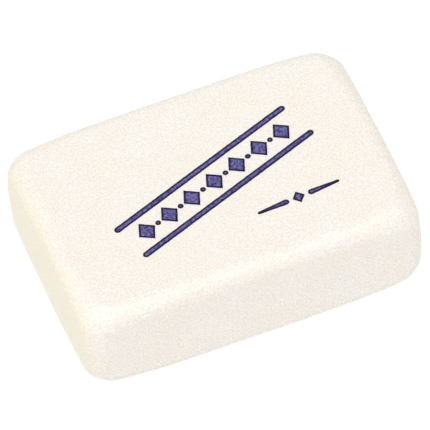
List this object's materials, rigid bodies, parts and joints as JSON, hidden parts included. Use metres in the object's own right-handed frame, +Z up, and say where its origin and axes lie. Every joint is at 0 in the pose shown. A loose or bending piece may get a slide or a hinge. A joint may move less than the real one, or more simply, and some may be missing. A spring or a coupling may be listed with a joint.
{
  "type": "rubber eraser",
  "caption": "Small block eraser of soft white rubber, a rounded rectangle in plan, with tumbled edges and corners and two flat faces.",
  "frame": {"origin": "centre of the resting face, under the middle of the block", "axes": "+X along the length, +Y across the width, +Z up through the block's height"},
  "size_m": [0.041, 0.0282, 0.0131],
  "materials": {
    "white_rubber": "matte warm white crumb rubber, fine powdery surface"
  },
  "bodies": {
    "root": {"rubber_block": "white_rubber"}
  },
  "joints": []
}
